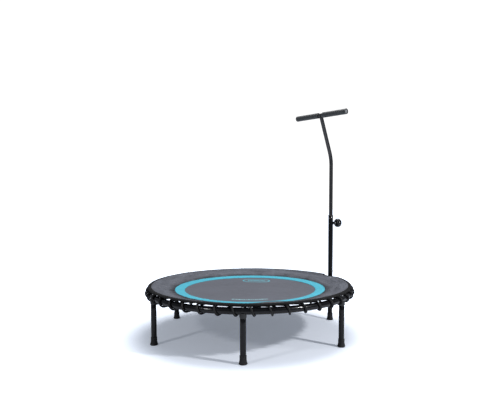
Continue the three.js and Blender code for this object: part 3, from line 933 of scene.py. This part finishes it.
def cord_path():
    """Up through a loop of the mat, over the frame tube, round outside it and back under it."""
    turn = FRAME_TUBE + CORD_RADIUS + 0.25 * MM
    pitch = math.tau / CORD_TURNS
    spread = 0.15
    wrap = range(105, -106, -21)
    rise = 6.5 * MM
    points = []
    for k in range(CORD_TURNS):
        hole = leg_angles[1] + k * pitch
        lengthwise = []
        for degrees in wrap:
            a = math.radians(degrees)
            share = 0.5 - spread * degrees / wrap[0]
            lengthwise.append((RING_RADIUS + turn * math.cos(a), RING_HEIGHT + turn * math.sin(a), share))
        inner_top = (CORD_HOLE_RADIUS + 1.5 * MM, MAT_TOP + rise, 0.02)
        inner_low = (CORD_HOLE_RADIUS + 1.5 * MM, MAT_TOP - rise - 2 * MM, 0.98)
        out = [np.array(inner_top) * (1 - t) + np.array(lengthwise[0]) * t for t in (0.3, 0.65)]
        back = [np.array(lengthwise[-1]) * (1 - t) + np.array(inner_low) * t for t in (0.35, 0.7)]
        stations = [(CORD_HOLE_RADIUS - 1 * MM, MAT_TOP - 1 * MM, 0.0), inner_top, *out, *lengthwise,
                    *back, inner_low]
        points += [(*polar(r, hole + pitch * share), z) for r, z, share in stations]
    return catmull(points, 3)


cord = tube("elastic_cord", cord_path(), CORD_RADIUS, 12, closed=True)
stretch_with_bed(cord, cord_sheath, "cord_cloth", "bungee_cord")

# ---- handle -------------------------------------------------------------------------------
POST_FOOT = Vector((POST.x, POST.y, 0))


def over_post(height):
    return POST_FOOT + UP * height


def socket():
    node = "handle_socket"
    pad, stub = 15 * MM, POST_TUBE - WALL - 0.3 * MM
    shoulder = low("handle_post").z - 0.3 * MM
    bottom = RING_HEIGHT + FRAME_TUBE - 4 * MM
    profile = rounded([
        (8 * MM, bottom), (pad, bottom), (pad, shoulder - 2 * MM), (pad - 1.5 * MM, shoulder),
        (stub, shoulder), (stub, high(node).z), (8 * MM, high(node).z),
    ], 1 * MM)
    piece = turned("post_socket", profile, Matrix.Rotation(POST_ANGLE, 4, "Z"), 48, True)
    seat = FRAME_TUBE + 0.4 * MM
    for vertex in piece.data.vertices:
        vertex.co.z = max(vertex.co.z, RING_HEIGHT + crown(seat, vertex.co.dot(OUTWARD)))
    piece.data.transform(Matrix.Translation(POST_FOOT))
    return piece


def socket_screw():
    """A pan-headed screw, from outside through the post into the socket."""
    height = middle("handle_socket_screw").z
    head, shank, widest, recess, tip = POST_TUBE + 0.2 * MM, 3 * MM, 5.5 * MM, 2 * MM, 9 * MM
    profile = rounded([
        (0, tip), (shank, tip), (shank, head), (widest, head), (widest, head + 1.8 * MM),
        (3.6 * MM, head + 3.4 * MM), (recess, head + 3.5 * MM), (recess, head + 1.6 * MM),
        (0, head + 1.6 * MM),
    ], 0.5 * MM)
    return turned("socket_screw", profile, frame_at(over_post(height), OUTWARD), 30)


def post():
    path = line(over_post(low("handle_post").z), over_post(high("handle_post").z), 12)
    return tube("outer_post", path, end_softened(POST_TUBE, len(path)), 40, WALL)


def bush():
    rim = high("handle_post").z
    top = high("post_bush").z
    inside, bore, lip = POST_TUBE - WALL - 0.3 * MM, STEM_TUBE + 0.3 * MM, 15.4 * MM
    profile = rounded([
        (bore, low("post_bush").z), (inside, low("post_bush").z), (inside, rim + 0.3 * MM),
        (lip, rim + 0.3 * MM), (lip, top - 2 * MM), (lip - 1.6 * MM, top), (bore, top),
        (bore, low("post_bush").z),
    ], 0.9 * MM)
    return turned("rim_bush", profile[:-1], Matrix.Translation(POST_FOOT), 48, True)


def boss():
    """The cone welded to the post, with a fillet of weld round its root."""
    bore, hole, root, tip, start, end = 4.3 * MM, 2.9 * MM, 11.5 * MM, 5.6 * MM, 10 * MM, 26 * MM
    profile = rounded([
        (bore, start), (root, start), (root, 14.2 * MM), (root - 1.9 * MM, 15.8 * MM),
        (tip + 1.1 * MM, end - 1 * MM), (tip, end), (hole, end), (hole, end - 2 * MM),
        (bore, end - 2 * MM),
    ], 1 * MM)
    piece = turned("spring_boss", profile, Matrix.Identity(4), 48, True)
    clear = POST_TUBE + 0.15 * MM
    for vertex in piece.data.vertices:
        vertex.co.z = max(vertex.co.z, crown(clear, vertex.co.y))
    piece.data.transform(frame_at(over_post(PIN_HEIGHT), OUTWARD))
    return piece


def pin():
    thin, tip, step = 2.6 * MM, 11.4 * MM, 31 * MM
    profile = rounded([
        (0, tip), (thin - 0.7 * MM, tip), (thin, tip + 1.2 * MM), (thin, step),
        (PIN_SHANK, step + 0.6 * MM), (PIN_SHANK, PIN_END), (0, PIN_END),
    ], 0.4 * MM)
    return turned("pull_pin", profile, frame_at(over_post(PIN_HEIGHT), OUTWARD), 32)


def spring():
    turns, radius, wire, length = 4, 3.45 * MM, 0.35 * MM, 3.6 * MM
    place = frame_at(over_post(PIN_HEIGHT) + OUTWARD * 15.2 * MM, OUTWARD)
    steps = 24 * turns
    path = []
    for k in range(steps + 1):
        a = math.tau * turns * k / steps
        path.append(place @ Vector((radius * math.cos(a), radius * math.sin(a), length * k / steps)))
    return tube("boss_spring", path, wire, 8)


def knob():
    """Round pull knob with a waist towards the post and shallow grooves round its edge."""
    widest, mid, half = KNOB_RADIUS, (KNOB_START + KNOB_END) / 2, (KNOB_END - KNOB_START) / 2
    bore, bore_end, neck = PIN_SHANK + 0.3 * MM, PIN_END + 0.3 * MM, 8 * MM
    profile = [(0, bore_end), (bore, bore_end), (bore, KNOB_START), (neck, KNOB_START),
               (neck + 1.5 * MM, KNOB_START + 0.8 * MM)]
    for a in np.linspace(-1.15, 1.45, 26):
        profile.append((widest * math.cos(a) ** 0.62, mid + half * math.sin(a)))
    profile.append((0, KNOB_END))
    piece = turned("pull_knob", profile, Matrix.Identity(4), 72)
    grooves, groove_depth, groove_start = 12, 0.035, 0.86
    for vertex in piece.data.vertices:
        share = math.hypot(vertex.co.x, vertex.co.y) / widest
        if share > groove_start:
            groove = 0.5 + 0.5 * math.cos(grooves * math.atan2(vertex.co.y, vertex.co.x))
            fade = smooth((share - groove_start) / (1 - groove_start))
            scale = 1 - groove_depth * groove ** 3 * fade
            vertex.co.x *= scale
            vertex.co.y *= scale
    piece.data.transform(frame_at(over_post(PIN_HEIGHT), OUTWARD))
    return piece


def stem():
    """The bent inner tube, up to the handlebar."""
    lean_corner = over_post(BEND_HEIGHT)
    end = Vector(BAR)
    lean = (end - lean_corner).normalized()
    bend_length = 42 * MM
    start, after = lean_corner - UP * bend_length, lean_corner + lean * bend_length
    bottom = over_post(low("handle_stem").z)
    path = line(bottom, start, 10)[:-2]
    for t in np.linspace(0, 1, 15):
        path.append(start * (1 - t) ** 2 + lean_corner * 2 * t * (1 - t) + after * t * t)
    stop = end - lean * (STEM_TUBE * 0.92)
    path += [after.lerp(stop, t) for t in np.linspace(0, 1, 8)[1:]]
    return tube("bent_stem", path, end_softened(STEM_TUBE, len(path), 0.2 * MM), 36, WALL)


def weld():
    """A bead where the stem meets the handlebar, made as a ring that follows the bar's round."""
    lean = (Vector(BAR) - over_post(BEND_HEIGHT)).normalized()
    place = frame_at(Vector(BAR), -lean)
    points = []
    sides, across = 48, 8
    for k in range(sides):
        a = math.tau * k / sides
        bead = (1.5 + 0.25 * math.sin(11 * a)) * MM
        radial = Vector((math.cos(a), math.sin(a), 0))
        world = (place.to_3x3() @ radial)
        off_bar = (world - ALONG * world.dot(ALONG)).length * STEM_TUBE
        down = math.sqrt(max(STEM_TUBE ** 2 - off_bar ** 2, 0))
        centre = radial * (STEM_TUBE + 0.3 * MM) + Vector((0, 0, max(down, 2.5 * MM) + 0.4 * MM))
        for j in range(across):
            b = math.tau * j / across
            around_bead = radial * bead * math.cos(b) + UP * bead * math.sin(b)
            points.append(place @ (centre + around_bead))
    return mesh_piece("bar_weld", points, grid_faces(sides, across, True))


def bar():
    path = line(BAR - ALONG * HALF_BAR, BAR + ALONG * HALF_BAR, 14)
    return tube("handlebar", path, end_softened(STEM_TUBE, len(path)), 40, WALL)


def grip(name, side):
    """A foam sleeve with soft ends, slightly uneven as cut foam is."""
    far, length = HALF_BAR + 6 * MM, 170 * MM
    near, bore, margin, steps = far - length, STEM_TUBE + 0.2 * MM, 5 * MM, 24
    profile = rounded([(bore, near), (GRIP, near), (GRIP, far), (bore, far)], 4 * MM, 6)
    straight = [(GRIP, near + margin + (length - 2 * margin) * k / steps) for k in range(1, steps)]
    middle_at = len(profile) // 2
    profile = profile[:middle_at] + straight + profile[middle_at:]
    piece = turned(name, profile, Matrix.Identity(4), 48, True)
    for vertex in piece.data.vertices:
        swell = 1 + 0.012 * noise.noise(Vector(vertex.co) * 45)
        if math.hypot(vertex.co.x, vertex.co.y) > 0.9 * GRIP:
            vertex.co.x *= swell
            vertex.co.y *= swell
    piece.data.transform(frame_at(Vector(BAR), ALONG * side))
    return piece


def end_plug(name, side):
    inside, cap, depth, face, dimple = STEM_TUBE - WALL - 0.3 * MM, 10.9 * MM, 16 * MM, 4 * MM, 4 * MM
    profile = rounded([
        (0, -depth), (inside, -depth), (inside, 0.3 * MM), (cap, 0.3 * MM), (cap, face - 1.4 * MM),
        (cap - 2.2 * MM, face), (dimple, face), (dimple - 0.6 * MM, face - 0.8 * MM),
        (0, face - 0.8 * MM),
    ], 0.8 * MM)
    return turned(name, profile, frame_at(Vector(BAR) + ALONG * side * HALF_BAR, ALONG * side), 48)


for make, *finish in (
    (socket, paint, "black_paint", "frame", "handle_socket"),
    (socket_screw, zinc, "zinc_steel", "frame", "handle_socket_screw"),
    (post, paint, "black_paint", "frame", "handle_post"),
    (bush, matt_black, "black_plastic", "frame", "post_bush"),
    (boss, paint, "black_paint", "frame", "pin_boss"),
    (pin, zinc, "zinc_steel", "lock", "lock_pin"),
    (spring, zinc, "zinc_steel", "lock", "pin_spring"),
    (knob, shiny_black, "gloss_black_plastic", "lock", "pin_knob"),
    (stem, shiny_paint, "black_paint", "handle", "handle_stem"),
    (weld, shiny_paint, "black_paint", "handle"),
    (bar, shiny_paint, "black_paint", "handle", "handle_bar"),
):
    finish_piece(make(), *finish)
for side, word in ((1, "left"), (-1, "right")):
    sleeve = finish_piece(grip(f"foam_{word}", side), foam, "grip_foam", "handle", f"grip_{word}")
    finish_piece(end_plug(f"plug_{word}", side), mid_grey, "grey_plastic", "handle", f"end_plug_{word}")

# ---- stage --------------------------------------------------------------------------------


def stage_floor():
    size = 30
    corners = [(-size, -size, 0), (size, -size, 0), (size, size, 0), (-size, size, 0)]
    floor = mesh_piece("stage_floor", corners, [(0, 1, 2, 3)])
    look = Look("pale_floor", (0.8, 0.84, 0.92), 0.75)
    look.tint(look.noise(0.6, 2), 0.98, 1.02)
    # painted light: the floor glows for the camera only, faintly near the object to lift the shade under
    # it, and more further out, where it turns into the white backdrop
    radius = polar_place(look)[1]
    fade = look.add("ShaderNodeMapRange", {
        "Value": radius, "From Min": 0.5, "From Max": 0.95, "To Min": 0.23, "To Max": 1.3,
    }, interpolation_type="SMOOTHSTEP").outputs["Result"]
    seen = look.add("ShaderNodeLightPath").outputs["Is Camera Ray"]
    look.shader.inputs["Emission Color"].default_value = (0.8, 0.88, 1, 1)
    look.links.new(look.math("MULTIPLY", fade, seen), look.shader.inputs["Emission Strength"])
    floor.data.materials.append(look.material)


def area_light(name, place, target, size, power):
    lamp = bpy.data.lights.new(name, "AREA")
    lamp.size = size
    lamp.energy = power
    holder = bpy.data.objects.new(name, lamp)
    holder.location = place
    holder.rotation_euler = (Vector(target) - Vector(place)).to_track_quat("-Z", "Y").to_euler()
    bpy.context.scene.collection.objects.link(holder)


def studio_world():
    """Plain white behind everything, and a dimmer, slightly blue light from all round."""
    world = bpy.data.worlds.new("studio")
    world.use_nodes = True
    nodes, links = world.node_tree.nodes, world.node_tree.links
    fill = nodes["Background"]
    fill.inputs["Color"].default_value = (0.82, 0.88, 1.0, 1)
    fill.inputs["Strength"].default_value = 0.22
    seen = nodes.new("ShaderNodeBackground")
    seen.inputs["Color"].default_value = (1, 1, 1, 1)
    seen.inputs["Strength"].default_value = 1.1
    path = nodes.new("ShaderNodeLightPath")
    mix = nodes.new("ShaderNodeMixShader")
    links.new(path.outputs["Is Camera Ray"], mix.inputs[0])
    links.new(fill.outputs[0], mix.inputs[1])
    links.new(seen.outputs[0], mix.inputs[2])
    links.new(mix.outputs[0], nodes["World Output"].inputs["Surface"])
    bpy.context.scene.world = world


def front_camera():
    """The view from the front: about 2.7 m away and 0.74 m up, looking slightly down."""
    data = bpy.data.cameras.new("camera")
    data.lens = 34.82
    data.shift_x = -0.0276
    data.shift_y = 0.0556
    camera = bpy.data.objects.new("camera", data)
    camera.location = (0.1598, -2.6641, 0.7403)
    heading = Vector((-0.0316, 0.9977, -0.0604))
    camera.rotation_euler = heading.to_track_quat("-Z", "Y").to_euler()
    bpy.context.scene.collection.objects.link(camera)
    bpy.context.scene.camera = camera


stage_floor()
studio_world()
front_camera()
area_light("overhead", (0.3, 0.6, 3.2), (0, 0, 0.2), 1.8, 60)
area_light("front_left", (-2.0, -2.25, 1.75), (0, 0, 0.2), 0.3, 22)
area_light("front_right", (2.44, -1.51, 2.03), (0, 0, 0.2), 0.25, 70)
bpy.context.scene.view_settings.view_transform = "Standard"
